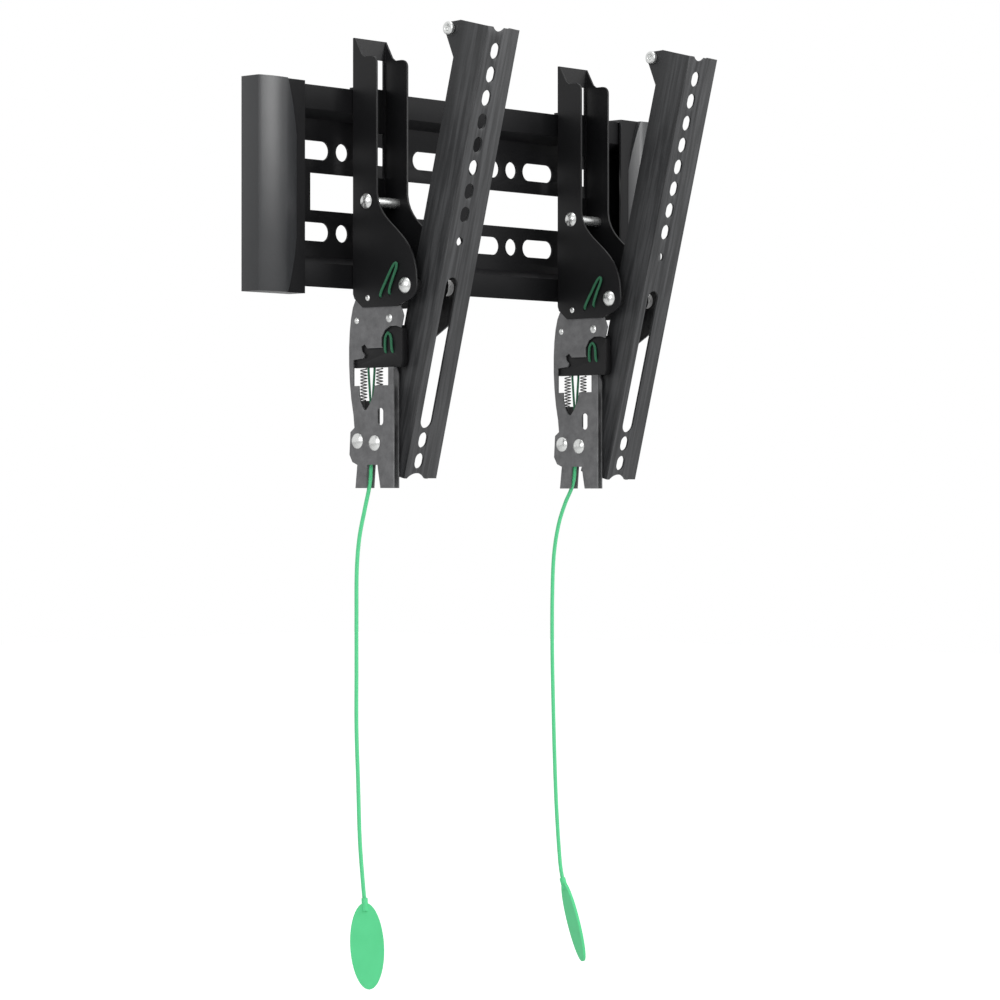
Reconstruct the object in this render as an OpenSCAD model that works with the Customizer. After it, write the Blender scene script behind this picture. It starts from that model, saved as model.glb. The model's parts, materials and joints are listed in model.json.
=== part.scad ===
/* [Wall plate] */
// Height of the wall plate
plate_h = 215; // [180:1:260]
// Depth from the wall to the front of the lips
plate_depth = 20; // [18:0.5:24]
// Thickness of the plate's steel
plate_t = 2.5; // [2:0.1:3]
// Height of the upper and lower lip
lip_h = 24; // [18:1:30]
// Height of the sloped band between a lip and the web
slope_h = 8; // [5:0.5:14]
// Height of the upper row of wall holes above the centre
row_high = 40.5; // [36:0.5:48]
// Height of the lower row of wall holes
row_low = -47; // [-52:0.5:-42]
// Distance from one wall slot to the next
hole_pitch = 91.4; // [80:0.1:100]
// Length of a wall slot
slot_l = 52; // [40:1:56]
// Width of a wall slot
slot_w = 20; // [12:0.5:22]
// Diameter of the round wall holes
round_d = 19; // [10:0.5:20]
// Width of each cable window
window_w = 192; // [150:1:200]
// Height of the cable windows
window_h = 40; // [24:1:42]
// Height of the windows' middle
window_z = -4; // [-8:0.5:0]

/* [End caps] */
// Overall width over both end caps
overall_w = 662; // [640:1:760]
// Width of an end cap
cap_w = 70.5; // [60:0.5:80]
// How far a cap stands above and below the plate
cap_margin = 5.5; // [3:0.5:10]
// Depth of a cap from the wall to its crown
cap_depth = 30; // [28:0.5:36]
// Wall of the moulded cap
cap_t = 2.4; // [1.8:0.1:3]
// How far the crown's inner edge bulges
cap_bulge = 22; // [10:1:30]

/* [Hook brackets] */
// Distance between the two brackets
spread = 335.7; // [300:0.1:380]
// Middle of the pair, from the plate's middle
spread_shift = 6.7; // [0:0.1:12]
// Width of the bracket channel
channel_w = 50; // [46:0.5:56]
// Depth of the bracket channel
channel_d = 35; // [32:0.5:42]
// Thickness of the bracket's steel
sheet_t = 2.5; // [2:0.1:3]
// Gap between the plate's lips and the bracket
hook_gap = 2; // [1.5:0.1:3]
// Height of the bracket's top
bracket_top = 162.7; // [155:0.5:175]
// Height of the spacer bolt
spacer_z = -14; // [-20:0.5:-8]
// Depth of the spacer bolt from the wall
spacer_y = 42; // [38:0.5:46]

/* [Tilt] */
// Depth of the tilt axis from the wall
pivot_y = 99.2; // [96:0.1:110]
// Height of the tilt axis
pivot_z = -106.5; // [-110:0.1:-100]
// Diameter of the tilt bolt
pivot_d = 10; // [8:0.1:12]
// Radius of the bracket's lugs around the tilt axis
lug_r = 16.6; // [14:0.1:19]
// Tilt of the rails as stored
rest_tilt = 14.3; // [10:0.1:15]

/* [Rails] */
// Width of a rail's face
rail_w = 52; // [48:0.5:58]
// Distance from the bracket's side to the rail
rail_offset = 18; // [17.5:0.1:22]
// Length of a rail above the tilt axis
rail_up = 285; // [240:1:330]
// Length of a rail below the tilt axis
rail_down = 203.5; // [196:0.5:230]
// Distance from the tilt axis to the rail's face
rail_front = 33; // [30:0.5:40]
// Distance from the tilt axis to the rail's rear edge
rail_rear = 7.5; // [5:0.5:10]
// Depth of the short lip on the rail's far side
rail_lip = 14; // [10:0.5:18]
// Pitch of the screen holes
screen_pitch = 25; // [24:0.5:26]
// Width of a screen hole
screen_hole_w = 13; // [8:0.5:14]
// Height of a screen hole
screen_hole_h = 17; // [15:0.5:18]

/* [Latches] */
// Thickness of the latch plates
latch_t = 2; // [1.5:0.1:2.4]
// Distance between the two latch plates
latch_gap = 9.5; // [9:0.1:10]
// Travel of the latch slider
latch_travel = 12; // [8:0.5:13]
// Outer diameter of a latch spring
spring_d = 8.2; // [6:0.1:8.4]
// Thickness of the spring wire
spring_wire = 1.3; // [0.8:0.1:1.5]
// Turns of a latch spring
spring_turns = 10; // [6:1:11]

/* [Pull cords] */
// Diameter of a pull cord
pull_d = 4.4; // [3:0.1:5]
// Diameter of the short cords in the latch
cord_d = 3; // [2:0.1:3.2]
// Width of a pull tag
tag_w = 36.5; // [25:0.5:45]
// Length of a pull tag
tag_l = 93; // [60:1:100]
// Thickness of a pull tag
tag_t = 3; // [2:0.5:4]

/* [Hidden] */
$fn = 48;
// Overlap of the tools that cut holes
eps = 1;
// Clearance of a bolt in its hole, and of flat faces that slide
bore_gap = 0.05;
slide_gap = 0.3;

// Plate, drawn in section as depth and height
lip_back = plate_depth - plate_t;
half_h = plate_h / 2;
lip_foot = half_h - lip_h;
web_half = lip_foot - slope_h;
slope_fall = plate_t * sqrt(slope_h * slope_h + lip_back * lip_back) / lip_back
    - plate_t * slope_h / lip_back;
plate_w = overall_w - 2 * cap_t - 2 * slide_gap;

// Places of the two units: the outer side of each bracket's left flange
left_x = spread_shift - spread / 2 - channel_w / 2;
right_x = spread_shift + spread / 2 - channel_w / 2;

// Bracket
web_y = plate_depth + hook_gap;
flange_y = web_y + channel_d;
hook_w = 12.5;
hook_inset = 4.5;
hook_reach = 2.3;
hook_drop = 19;
flange_foot = -128;

// Rail
rail_l = rail_up + rail_down;
hole_x = 18.5;
joggle_x = 37;
joggle = 1.6;
slot_top = 17;
slot_foot = -148;
long_slot_w = 18;
lock_hole_z = 56;
lock_hole_d = 9.5;
foot_holes = [-161, -184];
level_y = 19;
level_z = 274;
level_d = 6;

// Latch, from the bracket's left side and from the wall
latch_x = sheet_t;
latch_in = latch_x + latch_t;
latch_out = latch_in + latch_gap;
latch_mid = latch_in + latch_gap / 2;
latch_foot = -322;
leg_top = -297;
block_top = -174;
block_foot = -192.6;
seat_top = -228;
seat_step = -236;
seat_foot = -262;
spring_y = [29.3, 53];
cord_y = 41;
bridle_y = [cord_y - 4.5, cord_y + 4.5];
knot_r = 3.4;
rivet_big = [[26.2, -271.3], [51.6, -273.7]];
rivet_small = [[25.5, -142], [44, -118], [73.5, -140.5]];
rivet_small_r = [3.6, 3.4, 4.8];
riser_x = 22;
riser_w = 9;
riser_y = 10.5;
riser_t = 5;
riser_top = -98;

// Routes of the cords: from the bracket's left side, from the wall, and height
cord_left = [[9.3, -41, -247], [9.3, -40, -297], [9, -38.5, -318], [7.5, -32.5, -345], [6, -26, -375],
    [5, -23, -410], [5, -22.5, -460], [5, -22.5, -520], [5, -22.5, -580], [5.5, -24.5, -640],
    [6, -26.5, -700], [6, -31, -745], [6, -34, -768]];
cord_right = [[9.3, -41, -247], [9.3, -40, -297], [9, -37, -318], [8, -26, -340], [7, -17, -365],
    [6, -11, -400], [5, -9.5, -450], [5, -9.5, -510], [5, -11, -570], [5, -13, -630],
    [5, -16, -690], [5, -21, -748], [5, -24.8, -768.5], [5, -26.5, -774]];
loop_route = [[1.5, -63, -117], [-1, -64, -116], [-2.1, -67, -111], [-2.2, -74, -100], [-2.2, -81, -89],
    [-2.2, -86, -83], [-2.2, -89, -83], [-2.2, -88.5, -88], [-2.2, -84, -97], [-2.1, -79.5, -107],
    [-1, -77, -113], [1.5, -76.5, -114.5]];
hitch_route = [[8, -66.5, -178], [4.5, -66.5, -176], [3.3, -66.8, -170], [3.3, -67.5, -161],
    [3.3, -71.5, -156], [3.3, -75.5, -161], [3.3, -76.2, -170], [4.5, -76.5, -176], [8, -76.5, -178]];

// Outline of a sheet drawn as depth from the wall and height, given its thickness along X
module side(x, t) {
    translate([x, 0, 0]) rotate([90, 0, 90]) linear_extrude(t) mirror([1, 0]) children();
}

// Straight cylinder along X at a depth and height
module bar(x, y, z, r, l) {
    translate([x, -y, z]) rotate([0, 90, 0]) cylinder(r = r, h = l);
}

// Point on a cubic curve, and the whole curve
function cubic(a, b, c, d, t) =
    a * pow(1 - t, 3) + 3 * b * t * pow(1 - t, 2) + 3 * c * t * t * (1 - t) + d * pow(t, 3);
function curve(a, b, c, d, n) = [for (i = [0:n]) cubic(a, b, c, d, i / n)];
function arc(c, r, from, to, n) =
    [for (i = [0:n]) c + r * [cos(from + (to - from) * i / n), sin(from + (to - from) * i / n)]];

// Tube along a route: rings of points, each square to the route
function unit(v) = v / norm(v);
function heading(p, i) =
    unit(p[min(i + 1, len(p) - 1)] - p[max(i - 1, 0)]);
function ring(p, i, r, n) =
    let (d = heading(p, i), s = unit(cross(d, [0.83, 0.55, 0.12])), u = cross(d, s))
    [for (k = [0:n - 1]) p[i] + r * (cos(360 * k / n) * s + sin(360 * k / n) * u)];
module tube(p, r, n = 8) {
    m = len(p);
    polyhedron(
        points = [for (i = [0:m - 1]) each ring(p, i, r, n)],
        faces = concat(
            [[for (k = [0:n - 1]) k]],
            [for (i = [0:m - 2]) for (k = [0:n - 1])
                [i * n + k, (i + 1) * n + k, (i + 1) * n + (k + 1) % n, i * n + (k + 1) % n]],
            [[for (k = [n - 1:-1:0]) (m - 1) * n + k]]));
}

// Smooth route through hand-chosen points, with a few rings between each pair
function between(p, i, t) =
    let (a = p[max(i - 1, 0)], b = p[i], c = p[i + 1], d = p[min(i + 2, len(p) - 1)])
    0.5 * (2 * b + (c - a) * t + (2 * a - 5 * b + 4 * c - d) * t * t
        + (3 * b - a - 3 * c + d) * t * t * t);
function smooth(p, n) =
    concat([for (i = [0:len(p) - 2]) for (k = [0:n - 1]) between(p, i, k / n)], [p[len(p) - 1]]);

// Slot along the local X axis, cut through the local Z axis
module long_hole(l, w, h) {
    translate([-(l - w) / 2, 0, 0]) cylinder(d = w, h = h, center = true);
    translate([(l - w) / 2, 0, 0]) cylinder(d = w, h = h, center = true);
    cube([l - w, w, h], center = true);
}

// Wall plate: one pressed sheet with a web on the wall and two lips that stand off it
module wall_plate() {
    section = [[0, -web_half], [0, web_half], [lip_back, lip_foot], [lip_back, half_h],
        [plate_depth, half_h], [plate_depth, lip_foot - slope_fall],
        [plate_t, web_half - slope_fall], [plate_t, slope_fall - web_half],
        [plate_depth, slope_fall - lip_foot], [plate_depth, -half_h], [lip_back, -half_h],
        [lip_back, -lip_foot]];
    color([0.07, 0.07, 0.075]) difference() {
        side(-plate_w / 2, plate_w) polygon(section);
        for (z = [row_high, row_low]) {
            for (k = [-2.5:1:2.5]) translate([k * hole_pitch, 0, z])
                rotate([90, 0, 0]) long_hole(slot_l, slot_w, 4 * plate_t);
            for (k = [-2:2]) translate([k * hole_pitch, 0, z])
                rotate([90, 0, 0]) cylinder(d = round_d, h = 4 * plate_t, center = true);
        }
        for (s = [-1, 1]) translate([s * 1.48 * hole_pitch, 0, window_z])
            cube([window_w, 4 * plate_t, window_h], center = true);
    }
}

// End cap: a moulded shell over the plate's end, with a crown whose inner edge bulges
module end_cap(s) {
    h = plate_h + 2 * cap_margin;
    base = plate_depth + cap_t + 1.6;
    bow_r = (h * h / 4 + cap_bulge * cap_bulge) / (2 * cap_bulge);
    crown_w = cap_w - 8;
    front_r = 90;
    color([0.2, 0.2, 0.21]) mirror([s > 0 ? 1 : 0, 0, 0])
    translate([-overall_w / 2, 0, window_z + 1.5]) difference() {
        union() {
            translate([0, -base, -h / 2]) cube([cap_w, base, h]);
            intersection() {
                translate([0, -cap_depth, -h / 2]) cube([crown_w, cap_depth, h]);
                translate([crown_w - bow_r, 0, 0]) rotate([90, 0, 0])
                    cylinder(r = bow_r, h = cap_depth, $fn = 120);
                translate([crown_w * 0.42, front_r - cap_depth, -h / 2])
                    cylinder(r = front_r, h = h, $fn = 120);
            }
        }
        translate([cap_t, -plate_depth - slide_gap - 0.7, -h / 2 + cap_t])
            cube([cap_w, plate_depth + eps + slide_gap + 0.7, h - 2 * cap_t]);
        translate([cap_t, -cap_depth + cap_t + 2, -h / 2 + cap_t])
            cube([crown_w - cap_bulge - 2 * cap_t, cap_depth, h - 2 * cap_t]);
    }
}

// Outline of one bracket flange, as depth and height
function flange_outline() = concat(
    [[web_y, bracket_top], [web_y + sheet_t, bracket_top], [web_y + 12.6, 144.4],
        [web_y + 17, 141.3]],
    arc([flange_y - 8, 141.3 - 8], 8, 90, 0, 6),
    curve([flange_y, -5], [flange_y + 3, -45], [pivot_y + lug_r, -45], [pivot_y + lug_r, pivot_z + 4], 14),
    arc([pivot_y, pivot_z], lug_r, 0, -75, 8),
    [[pivot_y - 12, flange_foot], [web_y + 14, flange_foot], [web_y + 2, -118], [web_y, -113]]);

// Hook bracket: a channel with its web towards the wall and two tongues that hang on the plate's upper lip
module hook_bracket(x) {
    window_top = 142;
    lower_top = 62;
    lower_foot = 14;
    seat = half_h + slide_gap;
    color([0.06, 0.06, 0.065]) translate([x, 0, 0]) difference() {
        union() {
            translate([0, -web_y - sheet_t, -104]) cube([channel_w, sheet_t, bracket_top + 104]);
            side(0, sheet_t) polygon(flange_outline());
            side(channel_w - sheet_t, sheet_t) polygon(flange_outline());
            for (hx = [hook_inset, channel_w - hook_inset - hook_w]) translate([hx, 0, 0])
                side(0, hook_w) polygon([[web_y + eps / 2, seat], [web_y + eps / 2, seat + sheet_t],
                    [lip_back - hook_reach - sheet_t, seat + sheet_t],
                    [lip_back - hook_reach - sheet_t, seat - hook_drop],
                    [lip_back - hook_reach, seat - hook_drop], [lip_back - hook_reach, seat]]);
        }
        for (hx = [hook_inset, channel_w - hook_inset - hook_w]) {
            translate([hx, -web_y - sheet_t - eps, seat + sheet_t])
                cube([hook_w, sheet_t + 2 * eps, window_top - seat - sheet_t]);
            translate([hx, -web_y - sheet_t - eps, lower_foot])
                cube([hook_w, sheet_t + 2 * eps, lower_top - lower_foot]);
        }
        bar(-eps, spacer_y, spacer_z, 4 + bore_gap, channel_w + 2 * eps);
        bar(-eps, pivot_y, pivot_z, pivot_d / 2 + bore_gap, channel_w + 2 * eps);
        for (p = [loop_route[0], loop_route[len(loop_route) - 1]])
            bar(-eps, -p[1], p[2], cord_d / 2 + 0.7, sheet_t + 2 * eps);
        bar(-eps, rivet_small[1][0], rivet_small[1][1], 2 + bore_gap, sheet_t + 2 * eps);
    }
}

// Domed head on the left end of a bolt
module dome(x, y, z, r, h) {
    sphere_r = (r * r + h * h) / (2 * h);
    translate([x, -y, z]) rotate([0, -90, 0]) intersection() {
        translate([0, 0, h - sphere_r]) sphere(r = sphere_r);
        cylinder(r = r, h = h);
    }
}

// Spacer bolt: a domed bolt through both flanges
module spacer_bolt(x) {
    color([0.8, 0.8, 0.8]) translate([x, 0, 0]) {
        dome(0, spacer_y, spacer_z, 8.5, 5);
        bar(0, spacer_y, spacer_z, 4, channel_w + 8);
    }
}

module spacer_sleeve(x) {
    color([0.8, 0.8, 0.8]) translate([x, 0, 0]) difference() {
        bar(sheet_t, spacer_y, spacer_z, 5.4, channel_w - 2 * sheet_t);
        bar(0, spacer_y, spacer_z, 4 + bore_gap, channel_w);
    }
}

// Six-sided nut on the right end of a bolt
module nut(x, y, z, r, bolt_r, h) {
    difference() {
        translate([x, -y, z]) rotate([0, 90, 0]) cylinder(r = r, h = h, $fn = 6);
        bar(x - eps, y, z, bolt_r + bore_gap, h + 2 * eps);
    }
}

module spacer_nut(x) {
    color([0.75, 0.75, 0.75]) nut(x + channel_w, spacer_y, spacer_z, 7.5, 4, 6.4);
}

// Tilt bolt: runs through both lugs and both sides of the rail
module pivot_bolt(x) {
    color([0.8, 0.8, 0.8]) translate([x, 0, 0]) {
        dome(0, pivot_y, pivot_z, 8.8, 5.5);
        bar(0, pivot_y, pivot_z, pivot_d / 2, rail_offset + rail_w + 9);
    }
}

module pivot_spacer(x) {
    color([0.12, 0.12, 0.12]) translate([x, 0, 0]) difference() {
        bar(sheet_t, pivot_y, pivot_z, 8, rail_offset - sheet_t - slide_gap);
        bar(0, pivot_y, pivot_z, pivot_d / 2 + bore_gap, rail_offset);
    }
}

// Bright collar inside the rail's far side
module pivot_collar(x) {
    collar_l = 9;
    color([0.82, 0.82, 0.82]) translate([x + rail_offset + rail_w - sheet_t - slide_gap - collar_l, 0, 0])
    difference() {
        bar(0, pivot_y, pivot_z, 9, collar_l);
        bar(-eps, pivot_y, pivot_z, pivot_d / 2 + bore_gap, collar_l + 2 * eps);
    }
}

module pivot_nut(x) {
    color([0.75, 0.75, 0.75])
        nut(x + rail_offset + rail_w + slide_gap, pivot_y, pivot_z, 9, pivot_d / 2, 7);
}

// Screen rail, modelled upright about the tilt axis and then tilted
module on_pivot(x) {
    translate([x + rail_offset, -pivot_y, pivot_z]) rotate([rest_tilt, 0, 0]) children();
}

module tv_rail(x) {
    lip_y = joggle + rail_lip;
    plan = [[0, rail_rear], [0, -rail_front], [joggle_x, -rail_front],
        [joggle_x + joggle, joggle - rail_front], [rail_w, joggle - rail_front],
        [rail_w, lip_y - rail_front], [rail_w - sheet_t, lip_y - rail_front],
        [rail_w - sheet_t, joggle + sheet_t - rail_front],
        [joggle_x + joggle - 1, joggle + sheet_t - rail_front], [joggle_x - 1, sheet_t - rail_front],
        [sheet_t, sheet_t - rail_front], [sheet_t, rail_rear]];
    ear_r = 14;
    ear = concat([[rail_front - lip_y, 46], [4, 22]], arc([0, 0], ear_r, 60, 180, 10),
        [[-ear_r, -46], [-8, -57], [rail_front - lip_y, -31.5]]);
    color([0.27, 0.27, 0.28]) on_pivot(x) difference() {
        union() {
            translate([0, 0, -rail_down]) linear_extrude(rail_l) polygon(plan);
            bar(0, 0, 0, ear_r, sheet_t);
            side(0, sheet_t) polygon(concat([[-rail_rear + 1, rail_up - 44], [-rail_rear, rail_up - 40]],
                arc([-level_y, level_z - 1], 8, -120, -250, 6), [[-rail_rear + 1, rail_up]]));
            side(rail_w - sheet_t, sheet_t) polygon(ear);
        }
        bar(-eps, 0, 0, pivot_d / 2 + bore_gap, rail_w + 2 * eps);
        bar(-eps, -level_y, level_z, level_d / 2 + bore_gap, sheet_t + 2 * eps);
        for (k = [1:8]) translate([hole_x, -rail_front, rail_up - k * screen_pitch])
            rotate([90, 90, 0]) long_hole(screen_hole_h, screen_hole_w, 4 * sheet_t);
        translate([hole_x, -rail_front, lock_hole_z]) rotate([90, 0, 0])
            cylinder(d = lock_hole_d, h = 4 * sheet_t, center = true);
        translate([hole_x, -rail_front, (slot_top + slot_foot) / 2]) rotate([90, 90, 0])
            long_hole(slot_top - slot_foot, long_slot_w, 4 * sheet_t);
        for (z = foot_holes) translate([hole_x, -rail_front, z]) rotate([90, 90, 0])
            long_hole(screen_hole_h, screen_hole_w, 4 * sheet_t);
        translate([hole_x, -rail_front, rail_up + 7.5]) rotate([90, 0, 0])
            cylinder(r = 12, h = 4 * sheet_t, center = true);
        translate([hole_x, -rail_front, -rail_down - 14]) rotate([90, 0, 0])
            cylinder(r = 20, h = 4 * sheet_t, center = true);
    }
}

module level_screw(x) {
    color([0.82, 0.82, 0.82]) on_pivot(x) difference() {
        union() {
            bar(-5, -level_y, level_z, 7, 5);
            bar(-1, -level_y, level_z, level_d / 2, 11);
        }
        translate([-6, level_y, level_z]) rotate([0, 90, 0]) cylinder(r = 3.4, h = 4, $fn = 6);
    }
}

module level_nut(x) {
    color([0.75, 0.75, 0.75]) on_pivot(x) nut(sheet_t, -level_y, level_z, 6, level_d / 2, 5);
}

// Outer latch plate: a column on each side of the slider's window
module latch_plate_outer(x) {
    outline = concat([[36, flange_foot + 24], [36, -112], [23.2, -119.7]],
        curve([23.2, -119.7], [12, -134], [10, -200], [20.2, -243], 8),
        [[21.7, -257], [15.7, -261.5], [14.2, -286], [18.7, -294], [26, leg_top], [23.2, latch_foot],
            [39, latch_foot], [41, leg_top], [56, leg_top], [60.5, latch_foot], [79.7, latch_foot],
            [79.7, block_foot], [86, -189], [86, -176], [66, -176], [62, -170], [62, -161], [67, -153],
            [75, -149], [84, -149], [91, -151]],
        [[94.4, -138.3], [90, -127.5], [84, -118], [60, flange_foot + 24]]);
    color([0.42, 0.42, 0.43]) translate([x, 0, 0]) difference() {
        side(latch_x, latch_t) polygon(outline);
        side(latch_x - eps, latch_t + 2 * eps) {
            polygon([[41, -172], [37, -167.5], [32, -170], [33, -175], [37, -179], [35, -182.5],
                [20.2, -184], [20.2, block_foot], [100, block_foot], [100, -172]]);
            polygon([[20.2, block_foot], [72, block_foot], [72, -212], [52, -212], [50, -222],
                [44.5, -232], [39.5, -238], [36, -238], [31, -230], [28.5, -221], [28, -212],
                [20.2, -212]]);
        }
        translate([latch_x + latch_t / 2, -60.5, -245.4]) rotate([0, 90, 0])
            long_hole(18.6, 8.4, 3 * latch_t);
        for (p = concat(rivet_big, rivet_small)) bar(latch_x - eps, p[0], p[1], 2 + bore_gap, 2 * latch_t);
    }
}

// Inner latch plate: the lower half of the latch only
module latch_plate_inner(x) {
    outline = [[28, -178], [28, -188], [61, -188], [61, -258], [16, -258], [16, -290], [26, leg_top],
        [23.2, latch_foot], [39, latch_foot], [41, leg_top], [56, leg_top], [60.5, latch_foot],
        [76, latch_foot], [76, -200], [68, -178]];
    color([0.4, 0.4, 0.41]) translate([x, 0, 0]) difference() {
        side(latch_out, latch_t) polygon(outline);
        for (p = rivet_big) bar(latch_out - eps, p[0], p[1], 2 + bore_gap, 2 * latch_t);
    }
}

// Block between the latch plates that carries the springs and guides the cord
module spring_seat(x) {
    block_gap = 0.2;
    color([0.15, 0.15, 0.155]) translate([x, 0, 0]) difference() {
        side(latch_in, latch_gap) polygon([[22, seat_top], [57.5, seat_top], [57.5, seat_step],
            [49, seat_step], [49, seat_foot], [22, seat_foot]]);
        translate([latch_mid, -cord_y, seat_foot - eps]) cylinder(r = knot_r + 0.4, h = 40);
        translate([latch_in - eps, -cord_y - 6, seat_top - 12])
            cube([latch_gap + 2 * eps, 12, 12 + block_gap]);
    }
}

// Rivets: two large ones near the foot, and small ones that hold the plate to the bracket
module latch_rivets(x) {
    color([0.85, 0.85, 0.85]) translate([x, 0, 0]) {
        for (p = rivet_big) {
            dome(latch_x, p[0], p[1], 8.6, 3.6);
            bar(latch_x, p[0], p[1], 2, latch_out + latch_t - latch_x);
            bar(latch_in, p[0], p[1], 4.5, latch_gap);
            bar(latch_out + latch_t, p[0], p[1], 4, 1);
        }
        for (k = [0, 2]) {
            p = rivet_small[k];
            dome(latch_x, p[0], p[1], rivet_small_r[k], 2);
            bar(latch_x, p[0], p[1], 2, latch_t + 1);
            bar(latch_in, p[0], p[1], 3.5, 1);
        }
        dome(0, rivet_small[1][0], rivet_small[1][1], rivet_small_r[1], 1.6);
        bar(0, rivet_small[1][0], rivet_small[1][1], 2, latch_in + 1);
        bar(latch_in, rivet_small[1][0], rivet_small[1][1], 3.5, 1);
    }
}

// Two compression springs that push the slider up
module latch_springs(x) {
    steps = 9;
    coil_r = (spring_d - spring_wire) / 2;
    low = seat_top + spring_wire / 2 + 0.05;
    high = block_foot - spring_wire / 2 - 0.05;
    color([0.6, 0.6, 0.6]) translate([x, 0, 0]) for (y = spring_y)
        tube([for (i = [0:spring_turns * steps]) [latch_mid + coil_r * cos(360 * i / steps),
            -y + coil_r * sin(360 * i / steps), low + (high - low) * i / (spring_turns * steps)]],
            spring_wire / 2, 6);
}

// Slider: a block behind the window, an arm to the middle and a tongue that rises behind the lower lip
module latch_slider(x) {
    gap = 0.4;
    arm_z = -190;
    arm_h = 12;
    strand_r = cord_d / 2 + 0.3;
    color([0.06, 0.06, 0.065]) translate([x, 0, 0]) difference() {
        union() {
            side(latch_in + gap, latch_gap - 2 * gap) polygon([[16, block_foot], [88, block_foot],
                [90, -186], [90, -152], [86, -148], [66, -148], [60, -154], [59, -165], [54, -170],
                [44, -170], [37, -165], [31, -168], [31, arm_z + arm_h], [16, arm_z + arm_h]]);
            translate([latch_in + gap, -22, arm_z])
                cube([riser_x + riser_w - latch_in - gap, 6, arm_h]);
            translate([riser_x, -riser_y - riser_t, arm_z])
                cube([riser_w, riser_t, riser_top - arm_z]);
            translate([riser_x, -22, arm_z]) cube([riser_w, 22 - riser_y, arm_h]);
        }
        for (y = bridle_y) translate([latch_mid, -y, block_foot - eps])
            cylinder(r = strand_r, h = block_top - block_foot + 2 * eps);
        tube(smooth(hitch_route, 2), cord_d / 2 + 0.06, 8);
    }
}

// Short cord bridle: two strands from the slider that meet in a knot
module cord_bridle(x) {
    knot_z = -243;
    color([0.33, 0.85, 0.55]) translate([x, 0, 0]) {
        for (y = bridle_y) tube([[latch_mid, -y, -176], [latch_mid, -y, -196],
            [latch_mid, -(y + cord_y) / 2, -222], [latch_mid, -cord_y, knot_z]], cord_d / 2 - 0.2, 8);
        translate([latch_mid, -cord_y, knot_z]) sphere(r = knot_r, $fn = 24);
        tube(smooth(hitch_route, 2), cord_d / 2, 8);
    }
}

module pull_cord(x, route) {
    color([0.33, 0.85, 0.55]) translate([x, 0, 0]) tube(smooth(route, 5), pull_d / 2, 8);
}

// Flat leaf-shaped tag, drawn in its own plane and turned about the cord
module pull_tag(x, route, turn, lean) {
    rounds = 24;
    tip = route[len(route) - 1];
    half = [for (i = [0:rounds]) let (a = 180 * i / rounds)
        [tag_w / 2 * sin(a), -tag_l * (1 - cos(a)) / 2]];
    outline = concat(half, [for (i = [rounds - 1:-1:1]) [-half[i][0], half[i][1]]]);
    collar_up = 5;
    collar_down = 9;
    color([0.33, 0.85, 0.55]) translate([x, 0, 0] + tip) rotate([lean, 0, 0]) rotate([0, 0, turn])
    difference() {
        union() {
            rotate([90, 0, 0]) linear_extrude(tag_t, center = true) polygon(outline);
            translate([0, 0, -collar_down]) cylinder(r = pull_d / 2 + 1.2, h = collar_up + collar_down);
        }
        cylinder(r = pull_d / 2 + 0.5, h = collar_up + eps);
    }
}

module cord_loop(x) {
    color([0.33, 0.85, 0.55]) translate([x, 0, 0]) tube(smooth(loop_route, 2), cord_d / 2, 8);
}

wall_plate();
end_cap(-1);  // end_cap_left
end_cap(1);  // end_cap_right
hook_bracket(left_x);  // hook_bracket_left
spacer_bolt(left_x);  // spacer_bolt_left
spacer_sleeve(left_x);  // spacer_sleeve_left
spacer_nut(left_x);  // spacer_nut_left
pivot_bolt(left_x);  // pivot_bolt_left
pivot_spacer(left_x);  // pivot_spacer_left
pivot_collar(left_x);  // pivot_collar_left
pivot_nut(left_x);  // pivot_nut_left
latch_plate_outer(left_x);  // latch_plate_outer_left
latch_plate_inner(left_x);  // latch_plate_inner_left
spring_seat(left_x);  // spring_seat_left
latch_rivets(left_x);  // latch_rivets_left
latch_springs(left_x);  // latch_springs_left
cord_loop(left_x);  // cord_loop_left
tv_rail(left_x);  // tv_rail_left
level_screw(left_x);  // level_screw_left
level_nut(left_x);  // level_nut_left
latch_slider(left_x);  // latch_slider_left
cord_bridle(left_x);  // cord_bridle_left
pull_cord(left_x, cord_left);  // pull_cord_left
pull_tag(left_x, cord_left, -48, -4.4);  // pull_tag_left
hook_bracket(right_x);  // hook_bracket_right
spacer_bolt(right_x);  // spacer_bolt_right
spacer_sleeve(right_x);  // spacer_sleeve_right
spacer_nut(right_x);  // spacer_nut_right
pivot_bolt(right_x);  // pivot_bolt_right
pivot_spacer(right_x);  // pivot_spacer_right
pivot_collar(right_x);  // pivot_collar_right
pivot_nut(right_x);  // pivot_nut_right
latch_plate_outer(right_x);  // latch_plate_outer_right
latch_plate_inner(right_x);  // latch_plate_inner_right
spring_seat(right_x);  // spring_seat_right
latch_rivets(right_x);  // latch_rivets_right
latch_springs(right_x);  // latch_springs_right
cord_loop(right_x);  // cord_loop_right
tv_rail(right_x);  // tv_rail_right
level_screw(right_x);  // level_screw_right
level_nut(right_x);  // level_nut_right
latch_slider(right_x);  // latch_slider_right
cord_bridle(right_x);  // cord_bridle_right
pull_cord(right_x, cord_right);  // pull_cord_right
pull_tag(right_x, cord_right, 60, -19);  // pull_tag_right
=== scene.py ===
import json
import math
import bmesh
import bpy
from mathutils import Matrix, Vector


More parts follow.
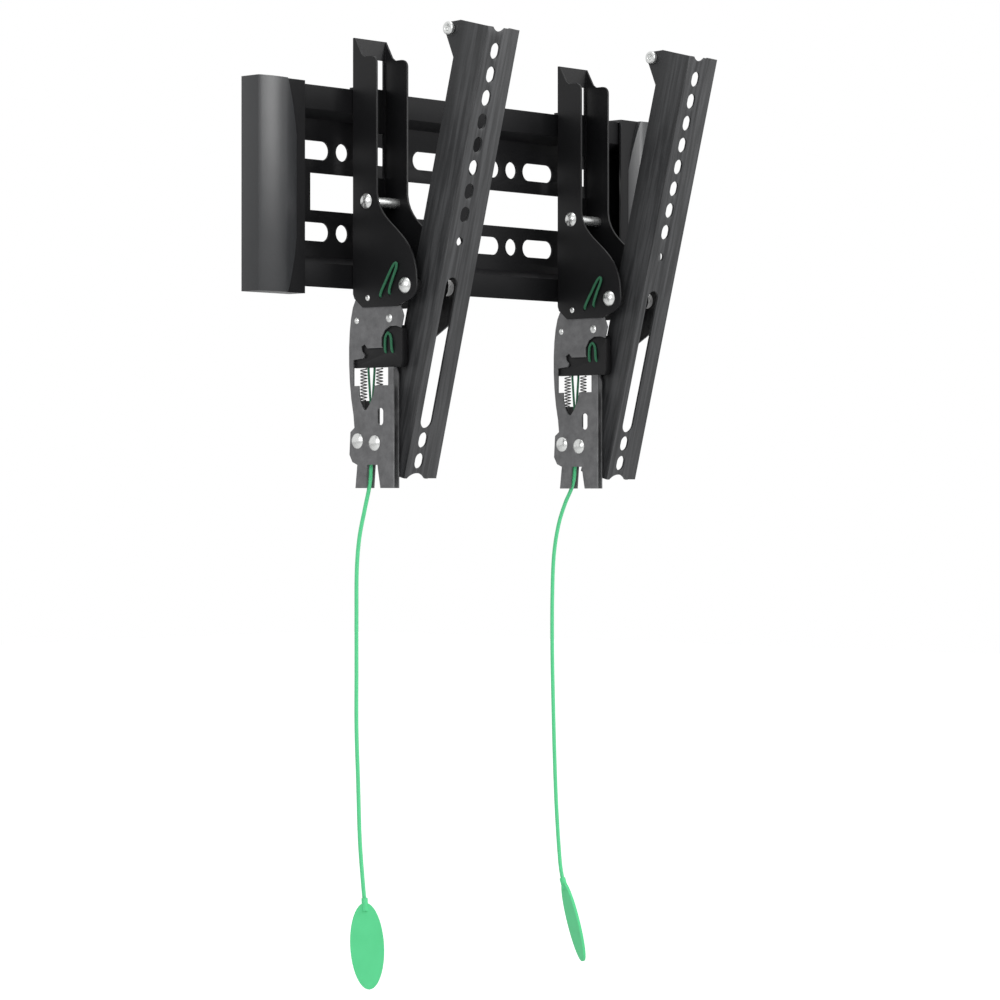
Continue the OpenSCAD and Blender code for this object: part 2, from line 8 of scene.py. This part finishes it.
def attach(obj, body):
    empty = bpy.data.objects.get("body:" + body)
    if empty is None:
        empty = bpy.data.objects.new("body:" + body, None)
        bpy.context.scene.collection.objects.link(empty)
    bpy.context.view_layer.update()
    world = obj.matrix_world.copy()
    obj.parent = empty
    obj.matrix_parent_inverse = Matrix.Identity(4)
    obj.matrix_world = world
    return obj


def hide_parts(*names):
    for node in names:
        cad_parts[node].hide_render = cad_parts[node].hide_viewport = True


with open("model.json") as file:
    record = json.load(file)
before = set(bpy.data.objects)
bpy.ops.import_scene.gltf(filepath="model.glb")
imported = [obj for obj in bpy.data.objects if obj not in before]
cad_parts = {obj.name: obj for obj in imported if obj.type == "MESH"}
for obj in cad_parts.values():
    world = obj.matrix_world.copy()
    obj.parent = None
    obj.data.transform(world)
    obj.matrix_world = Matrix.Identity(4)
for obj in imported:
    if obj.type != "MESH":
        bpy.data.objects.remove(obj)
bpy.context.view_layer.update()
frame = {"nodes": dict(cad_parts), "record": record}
nodes = frame["nodes"]

# Camera.
# Level, to the left of the mount and well back, so the uprights stay parallel
# and both units show the side that carries the latch. Fitted to the photograph.
camera_data = bpy.data.cameras.new("camera")
camera_data.sensor_width = 36
camera_data.lens = 125.62
camera_data.shift_y = -0.00435
camera_data.clip_start, camera_data.clip_end = 0.1, 60
camera = bpy.data.objects.new("camera", camera_data)
bpy.context.scene.collection.objects.link(camera)
camera.location = (-2.8734, -2.6530, -0.3301)
camera.rotation_euler = (math.radians(90), 0, math.radians(-48.02))
bpy.context.scene.camera = camera


# Pull cords.
# Braided green cord, 4.4 mm thick, tied inside the block between the latch
# plates and hanging from there down to its tag.
class Wire:
    """An output of a shader node. Sums and products of wires add the nodes for them."""

    def __init__(self, tree, socket=None):
        self.tree, self.socket = tree, socket

    def node(self, kind, settings=None, sockets=None, out=0):
        """One output of a new node, with its sockets set or linked to wires."""
        made = self.tree.nodes.new(kind)
        for name, value in (settings or {}).items():
            setattr(made, name, value)
        for name, value in (sockets or {}).items():
            if isinstance(value, Wire):
                self.tree.links.new(value.socket, made.inputs[name])
            else:
                made.inputs[name].default_value = value
        return Wire(self.tree, made.outputs[out])

    def math(self, operation, a, b=0.0):
        return self.node("ShaderNodeMath", {"operation": operation}, {0: a, 1: b})

    def __add__(self, other):
        return self.math("ADD", self, other)

    def __radd__(self, other):
        return self.math("ADD", other, self)

    def __sub__(self, other):
        return self.math("SUBTRACT", self, other)

    def __rsub__(self, other):
        return self.math("SUBTRACT", other, self)

    def __mul__(self, other):
        return self.math("MULTIPLY", self, other)

    def __rmul__(self, other):
        return self.math("MULTIPLY", other, self)

    def place(self, scale=(1, 1, 1), turn=(0, 0, 0)):
        """Coordinates of the piece, turned and scaled."""
        here = self.node("ShaderNodeTexCoord", out="Object")
        return self.node("ShaderNodeMapping", {}, {"Vector": here, "Scale": scale,
                         "Rotation": [math.radians(a) for a in turn]})

    def grain(self, scale, detail=3.0, rough=0.55, where=None):
        """Noise of so many waves in a metre."""
        return self.node("ShaderNodeTexNoise", {}, {"Vector": where or self.place(), "Scale": scale,
                         "Detail": detail, "Roughness": rough})

    def limit(self, low, high):
        """This value spread between two others where it lies between 0 and 1."""
        return self.node("ShaderNodeMapRange", {"clamp": True},
                         {"Value": self, "To Min": low, "To Max": high})

    def step(self, start, end):
        """0 below start, 1 above end."""
        return self.node("ShaderNodeMapRange", {"clamp": True, "interpolation_type": "SMOOTHSTEP"},
                         {"Value": self, "From Min": start, "From Max": end})

    def tint(self, dark, light):
        """A colour between two, where this value goes from 0 to 1."""
        return self.node("ShaderNodeMix", {"data_type": "RGBA"},
                         {0: self, 6: (*dark, 1), 7: (*light, 1)}, out=2)


def finish(name):
    """A new material: its start for wires, and its surface node."""
    material = bpy.data.materials.new(name)
    material.use_nodes = True
    tree = material.node_tree
    surface = tree.nodes["Principled BSDF"]
    return material, Wire(tree), surface


def feed(surface, **inputs):
    """Sets the surface's sockets, or links wires to them."""
    for name, value in inputs.items():
        socket = surface.inputs[name.replace("_", " ")]
        if isinstance(value, Wire):
            value.tree.links.new(value.socket, socket)
        else:
            socket.default_value = value


def bumps(wire, height, depth):
    """Normals from a height that goes from 0 to 1, so many metres deep."""
    return wire.node("ShaderNodeBump", {}, {"Height": height, "Distance": depth, "Strength": 1.0},
                     out="Normal")


# Painted light on the ridges of the braid and painted shade in its furrows
ridge_green_painted_light, furrow_green_painted_shade = (0.125, 0.72, 0.32), (0.03, 0.42, 0.155)
cord_green, w, surface = finish("green braid")
uv = w.node("ShaderNodeUVMap", {"uv_map": "along"})
around = w.node("ShaderNodeSeparateXYZ", {}, {0: uv}, out=0)
along = Wire(w.tree, around.socket.node.outputs[1])
strands, crossings_per_metre = 8, 560
one_way = around * strands + along * crossings_per_metre
other_way = around * strands - along * crossings_per_metre


def ridge(turns):
    """Rises from 0 to 1 and falls back once in each turn."""
    off_middle = turns.math("FRACT", turns) - 0.5
    return 1 - off_middle * off_middle * 4


braid = w.math("MAXIMUM", ridge(one_way), ridge(other_way))
fluff = w.grain(900, 4)
# Painted light and shade: the braid's ridges paler, its furrows darker, with random fluff
feed(surface, Base_Color=(braid * 0.75 + fluff * 0.35).tint(furrow_green_painted_shade, ridge_green_painted_light),
     Roughness=fluff.limit(0.6, 0.85), Normal=bumps(w, braid + fluff * 0.25, 0.0003))
surface.inputs["Sheen Weight"].default_value = 0.3
surface.inputs["Specular IOR Level"].default_value = 0.3


def cord_points(route, steps):
    """The points of a smooth curve through a route."""
    points = []
    for i in range(len(route) - 1):
        a, b, c, d = (Vector(route[min(max(i + k, 0), len(route) - 1)]) for k in (-1, 0, 1, 2))
        for k in range(steps):
            t = k / steps
            points.append(0.5 * (2 * b + (c - a) * t + (2 * a - 5 * b + 4 * c - d) * t * t
                                 + (3 * b - a - 3 * c + d) * t ** 3))
    return points + [Vector(route[-1])]


def new_piece(name, bm, *materials):
    """Makes a piece of a finished bmesh."""
    mesh = bpy.data.meshes.new(name)
    bm.to_mesh(mesh)
    bm.free()
    piece = bpy.data.objects.new(name, mesh)
    bpy.context.scene.collection.objects.link(piece)
    for material in materials:
        mesh.materials.append(material)
    return piece


# A direction that no stretch of cord runs in
off_the_route = Vector((0.83, 0.55, 0.12))


def tube_along(name, points, radius, sides, material):
    """A round tube along points, with its turn and its length as a UV map."""
    bm = bmesh.new()
    uv_layer = bm.loops.layers.uv.new("along")
    stations = [0.0]
    for a, b in zip(points, points[1:]):
        stations.append(stations[-1] + (b - a).length)
    rings = []
    for i, p in enumerate(points):
        way = points[min(i + 1, len(points) - 1)] - points[max(i - 1, 0)]
        aside = way.cross(off_the_route).normalized()
        up = way.normalized().cross(aside)
        turn = Matrix((aside, up, way.normalized())).transposed().to_4x4()
        rings.append(bmesh.ops.create_circle(bm, segments=sides, radius=radius, cap_ends=False,
                                             matrix=Matrix.Translation(p) @ turn)["verts"])
    for i in range(len(rings) - 1):
        for k in range(sides):
            low, high = rings[i], rings[i + 1]
            face = bm.faces.new((low[k], low[(k + 1) % sides], high[(k + 1) % sides], high[k]))
            face.smooth = True
            for loop, (u, v) in zip(face.loops, ((k, i), (k + 1, i), (k + 1, i + 1), (k, i + 1))):
                loop[uv_layer].uv = (u / sides, stations[v])
    bm.faces.new(rings[0])
    bm.faces.new(rings[-1])
    bmesh.ops.recalc_face_normals(bm, faces=bm.faces)
    return new_piece(name, bm, material), stations[-1]


# Outer face of each bracket's left flange, in metres; the routes start there, in millimetres
unit_x = {"left": -0.18615, "right": 0.14955}
cord_route = {
    "left": [(9.3, -41, -247), (9.3, -40, -297), (9, -38.5, -318), (7.5, -32.5, -345), (6, -26, -375),
             (5, -23, -410), (5, -22.5, -460), (5, -22.5, -520), (5, -22.5, -580), (5.5, -24.5, -640),
             (6, -26.5, -700), (6, -31, -745), (6, -34, -768)],
    "right": [(9.3, -41, -247), (9.3, -40, -297), (9, -37, -318), (8, -26, -340), (7, -17, -365),
              (6, -11, -400), (5, -9.5, -450), (5, -9.5, -510), (5, -11, -570), (5, -13, -630),
              (5, -16, -690), (5, -21, -748), (5, -24.8, -768.5), (5, -26.5, -774)]}
cord_diameter = 0.0044
cord_sides = 14
steps_between_points = 10
cords = {}
for side, route in cord_route.items():
    points = cord_points([(unit_x[side] + x / 1000, y / 1000, z / 1000) for x, y, z in route],
                         steps_between_points)
    cord_piece, cord_length = tube_along("braided_cord_" + side, points, cord_diameter / 2,
                                         cord_sides, cord_green)
    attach(cord_piece, "latch_" + side)
    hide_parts("pull_cord_" + side)
    cords[side] = cord_piece, points, cord_length


# Pull tags.
# Flat leaves of soft green plastic, moulded on the ends of the cords, with a
# rounded edge, a shallow rim and a thicker collar that grips the cord.
tag_green, w, surface = finish("green soft plastic")
mottle = w.grain(60, 4)
pores = w.grain(2600, 2)
feed(surface, Base_Color=mottle.tint((0.085, 0.60, 0.245), (0.115, 0.68, 0.30)),
     Roughness=mottle.limit(0.5, 0.62), Normal=bumps(w, pores, 0.00006))
surface.inputs["Specular IOR Level"].default_value = 0.35
surface.inputs["Subsurface Weight"].default_value = 0.08
surface.inputs["Subsurface Radius"].default_value = (0.002, 0.006, 0.003)

weld_distance = 0.000003
for side in ("left", "right"):
    tag = nodes["pull_tag_" + side]
    tag.data.materials.clear()
    tag.data.materials.append(tag_green)
    weld = tag.modifiers.new("weld", "WELD")
    weld.merge_threshold = weld_distance
    soft_edge = tag.modifiers.new("soft edge", "BEVEL")
    soft_edge.width, soft_edge.segments = 0.0009, 3
    soft_edge.limit_method, soft_edge.angle_limit = "ANGLE", math.radians(40)
    cord_piece, points, cord_length = cords[side]


# Wall plate.
# One pressed steel sheet, 2.5 mm thick: a flat web on the wall between two
# lips that stand off it. Black powder coat with a fine pebble and some dust.
flat_within = math.radians(0.6)


def softened(name, node, radius, material, segments=2, least=30):
    """A copy of a CAD solid with its edges rounded, as pressing or moulding leaves them."""
    bm = bmesh.new()
    bm.from_mesh(nodes[node].data)
    bmesh.ops.remove_doubles(bm, verts=bm.verts, dist=weld_distance)
    bmesh.ops.dissolve_limit(bm, angle_limit=flat_within, verts=bm.verts, edges=bm.edges,
                             use_dissolve_boundaries=False)
    keen = [e for e in bm.edges if len(e.link_faces) == 2 and e.calc_face_angle() > math.radians(least)]
    rounded = set(bmesh.ops.bevel(bm, geom=keen, offset=radius, segments=segments, profile=0.5,
                                  affect="EDGES", clamp_overlap=True, material=-1)["faces"])
    for face in bm.faces:
        bends = [math.degrees(edge.calc_face_angle(0)) for edge in face.edges]
        face.smooth = face in rounded or any(0.3 < bend < 20 for bend in bends)
    piece = new_piece(name, bm, material)
    for body, members in frame["record"]["behaviour"]["bodies"].items():
        if node in members:
            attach(piece, body)
    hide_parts(node)
    next(s["material_slot"] for s in frame["record"]["subparts"] if s["node"] == node)
    return piece


def powder_coat(name, dark, light, rough_low, rough_high, pebble=0.00005, shine=0.3):
    """Sprayed coat, or nylon that looks like it: fine pebble, faint clouds, a few dust specks."""
    material, w, surface = finish(name)
    clouds = w.grain(14, 5)
    pebbles = w.grain(1500, 2)
    specks = w.grain(420, 1).step(0.70, 0.78)
    shade = clouds * 0.7 + pebbles * 0.3
    feed(surface, Base_Color=(shade + specks * 0.5).tint(dark, light),
         Roughness=(clouds * 0.5 + pebbles * 0.5).limit(rough_low, rough_high),
         Normal=bumps(w, pebbles, pebble))
    surface.inputs["Specular IOR Level"].default_value = shine
    return material


plate_black = powder_coat("black powder coat", (0.003, 0.003, 0.0035), (0.009, 0.009, 0.01), 0.42, 0.65,
                           shine=0.16)
softened("pressed_wall_plate", "wall_plate", 0.0006, plate_black)


# End caps.
# Moulded shells of charcoal plastic, pushed over the ends of the plate, with a
# crown whose inner edge bulges towards the middle.
cap_charcoal, w, surface = finish("charcoal satin plastic")
spark = w.grain(3200, 2)
cloud = w.grain(22, 4)
feed(surface, Base_Color=cloud.tint((0.021, 0.022, 0.024), (0.031, 0.032, 0.034)),
     Roughness=(cloud * 0.6 + spark * 0.4).limit(0.3, 0.46), Normal=bumps(w, spark, 0.00003))
surface.inputs["Specular IOR Level"].default_value = 0.55
# Painted shade: the flat face beside the crown gets the plate's black, dark as if it lay in shade
painted_shade_face_depth = 0.024
for side in ("left", "right"):
    cap = softened("moulded_cap_" + side, "end_cap_" + side, 0.0012, cap_charcoal, segments=3)
    cap.data.materials.append(plate_black)
    for face in cap.data.polygons:
        if face.normal.y < -0.95 and abs(face.center.y + painted_shade_face_depth) < 0.0005:
            face.material_index = 1


# Hook brackets.
# Folded steel channels that hang on the plate's upper lip by two tongues, one
# for each rail; the lugs at their feet carry the tilt bolt.
bracket_black = powder_coat("deep black coat", (0.003, 0.003, 0.0035), (0.009, 0.009, 0.010), 0.33, 0.55)
for side in ("left", "right"):
    softened("folded_bracket_" + side, "hook_bracket_" + side, 0.0005, bracket_black)


# Bolts, sleeves, collars and nuts.
# Zinc-plated steel: domed bolts through flanges and lugs, a sleeve between the
# flanges, six-sided nuts, a collar inside the rail, and a spacer of black nylon.
def plated(name, dark, light, rough_low, rough_high, metallic=0.85):
    """Bright plated steel with fine turning marks and a little dulling."""
    material, w, surface = finish(name)
    marks = w.grain(700, 3, where=w.place((6, 1, 1)))
    dull = w.grain(120, 4)
    feed(surface, Base_Color=(dull * 0.6 + marks * 0.4).tint(dark, light),
         Roughness=(dull * 0.5 + marks * 0.5).limit(rough_low, rough_high),
         Normal=bumps(w, marks, 0.00002))
    surface.inputs["Metallic"].default_value = metallic
    return material


zinc = plated("bright zinc", (0.62, 0.63, 0.62), (0.86, 0.87, 0.86), 0.18, 0.36)
nut_zinc = plated("dull zinc", (0.5, 0.5, 0.5), (0.74, 0.74, 0.73), 0.26, 0.44)
collar_zinc_painted_light = plated("satin zinc with painted light", (0.8, 0.81, 0.8), (0.96, 0.97, 0.96), 0.35, 0.5, 0.1)
# Painted light: a paler, almost matt zinc with a very weak light of its own, because the collar lies in
# the rail's shadow
collar_surface = collar_zinc_painted_light.node_tree.nodes["Principled BSDF"]
collar_surface.inputs["Emission Color"].default_value = (1, 1, 1, 1)
collar_surface.inputs["Emission Strength"].default_value = 0.08
nylon_black = powder_coat("black nylon", (0.012, 0.012, 0.012), (0.024, 0.024, 0.025), 0.4, 0.55)
for side in ("left", "right"):
    for node in ("spacer_bolt", "pivot_bolt"):
        softened("domed_" + node + "_" + side, node + "_" + side, 0.0004, zinc, least=40)
    for node, material in (("spacer_sleeve", zinc), ("pivot_collar", collar_zinc_painted_light)):
        softened("turned_" + node + "_" + side, node + "_" + side, 0.0004, material, least=40)
    for node, material in (("spacer_nut", nut_zinc), ("pivot_nut", collar_zinc_painted_light), ("level_nut", nut_zinc)):
        softened("hex_" + node + "_" + side, node + "_" + side, 0.0005, material)
    softened("moulded_spacer_" + side, "pivot_spacer_" + side, 0.0004, nylon_black, least=40)


# Screen rails.
# Folded steel rails that the screen is screwed to, tilted about the bolt.
# Charcoal coat with long faint streaks from the rolling of the sheet.
rail_charcoal, w, surface = finish("charcoal coat")
# Degrees; turned back by this much, the streaks run along the rail
rail_tilt = 14.3
upright = w.place((1, 1, 1), (-rail_tilt, 0, 0))
lengthways = w.node("ShaderNodeMapping", {}, {"Vector": upright, "Scale": (1, 1, 0.05)})
streaks = w.grain(230, 5, 0.6, where=lengthways).step(0.36, 0.68)
# Darker on the side towards the wall, where the rail shades itself
depth = w.node("ShaderNodeSeparateXYZ", {}, {0: upright}, out=1)
lit_from, lit_fully_at = 0.115, 0.138
towards_room = (0 - depth).step(lit_from, lit_fully_at)
cloud = w.grain(18, 5)
pebbles = w.grain(1800, 2)
feed(surface, Base_Color=((streaks * 0.65 + cloud * 0.35) * (towards_room * 0.8 + 0.2)).tint(
         (0.009, 0.0095, 0.0105), (0.062, 0.063, 0.066)),
     Roughness=(streaks * 0.5 + pebbles * 0.5).limit(0.36, 0.56),
     Normal=bumps(w, pebbles * 0.6 + streaks * 0.4, 0.00005))
for side in ("left", "right"):
    softened("folded_rail_" + side, "tv_rail_" + side, 0.0006, rail_charcoal)
    softened("button_screw_" + side, "level_screw_" + side, 0.0012, zinc, segments=3, least=60)


# Latch plates.
# Punched steel plates, riveted together below each bracket, in a mid grey
# coat with scuffs all over; the slider and the springs' block lie between them.
latch_grey, w, surface = finish("grey coat")
scuffs = w.grain(90, 6, 0.65)
fine = w.grain(900, 3)
feed(surface, Base_Color=(scuffs * 0.8 + fine * 0.2).tint((0.03, 0.031, 0.033), (0.25, 0.25, 0.255)),
     Roughness=scuffs.limit(0.3, 0.55), Normal=bumps(w, fine * 0.7 + scuffs * 0.3, 0.00006))
surface.inputs["Metallic"].default_value = 0.35
for side in ("left", "right"):
    softened("punched_plate_outer_" + side, "latch_plate_outer_" + side, 0.0004, latch_grey)
    softened("punched_plate_inner_" + side, "latch_plate_inner_" + side, 0.0004, latch_grey)
    softened("domed_rivets_" + side, "latch_rivets_" + side, 0.0003, zinc, least=45)
    softened("moulded_seat_" + side, "spring_seat_" + side, 0.0005, nylon_black)
    softened("latch_slide_" + side, "latch_slider_" + side, 0.0006, bracket_black)


# Latch springs.
# Two wound wire springs between the slider and the block; they push the
# slider's tongue up behind the plate's lower lip.
spring_wire = plated("spring wire", (0.09, 0.09, 0.09), (0.22, 0.22, 0.22), 0.3, 0.45, 0.7)
for side in ("left", "right"):
    node = nodes["latch_springs_" + side]
    node.data.materials.clear()
    node.data.materials.append(spring_wire)


# Inner cords.
# A short bridle of thinner cord that ties the pull cord to the slider, and a
# loop of it through the bracket's flange.
knot_green_painted_shade, w, surface = finish("inner cord green, painted shade")
weave = w.node("ShaderNodeTexVoronoi", {}, {"Vector": w.place(), "Scale": 900.0})
fluff = w.grain(700, 4)
# Painted shade: a much darker green than the pull cord, standing in for the shadow between the latch
# plates
feed(surface, Base_Color=(weave * 0.5 + fluff * 0.5).tint((0.008, 0.07, 0.032), (0.03, 0.19, 0.09)),
     Roughness=fluff.limit(0.6, 0.85), Normal=bumps(w, weave, 0.0003))
for side in ("left", "right"):
    for name in ("cord_bridle_", "cord_loop_"):
        node = nodes[name + side]
        node.data.materials.clear()
        node.data.materials.append(knot_green_painted_shade)


# Floor and background.
# Pale studio floor under the tags; it and the background show white.
white, w, surface = finish("pale floor")
seen = w.node("ShaderNodeLightPath", out="Is Camera Ray")
feed(surface, Base_Color=w.grain(3, 2).tint((0.86, 0.86, 0.86), (0.9, 0.9, 0.9)), Roughness=0.8,
     Emission_Color=seen.tint((0, 0, 0), (1, 1, 1)))
surface.inputs["Emission Strength"].default_value = 0.6
floor_height = -1.25
bm = bmesh.new()
bmesh.ops.create_grid(bm, x_segments=1, y_segments=1, size=14,
                      matrix=Matrix.Translation((0, 0, floor_height)))
floor = new_piece("floor", bm, white)

world = bpy.data.worlds.new("studio")
bpy.context.scene.world = world
world.use_nodes = True
w = Wire(world.node_tree)
ray = world.node_tree.nodes.new("ShaderNodeLightPath")
camera_ray, glossy_ray, clear_ray = (Wire(world.node_tree, ray.outputs[n]) for n in
                                     ("Is Camera Ray", "Is Glossy Ray", "Is Transmission Ray"))
shown = w.math("MAXIMUM", camera_ray, w.math("MAXIMUM", glossy_ray * 0.75, clear_ray))
backdrop = world.node_tree.nodes["Background"]
world.node_tree.links.new((shown * 0.45 + 0.55).socket, backdrop.inputs["Strength"])
backdrop.inputs["Color"].default_value = (1, 1, 1, 1)


# Lamps.
# Large soft boxes: one to the right of the camera, a weaker one to its left
# and one above.
def soft_box(name, place, aim, size, power):
    """A square lamp at a place, turned towards what it aims at."""
    lamp = bpy.data.lights.new(name, "AREA")
    lamp.shape, lamp.size, lamp.energy = "SQUARE", size, power
    box = bpy.data.objects.new(name, lamp)
    bpy.context.scene.collection.objects.link(box)
    box.location = place
    box.rotation_euler = (Vector(aim) - Vector(place)).to_track_quat("-Z", "Y").to_euler()


soft_box("key", (1.2, -2.6, 1.0), (0, 0, 0), 1.2, 42)
soft_box("side", (-2.6, -1.2, 0.8), (-0.1, 0, -0.1), 1.4, 30)
soft_box("top", (0, -0.6, 2.4), (0, -0.1, 0), 1.4, 18)

bpy.context.scene.view_settings.view_transform = "Standard"
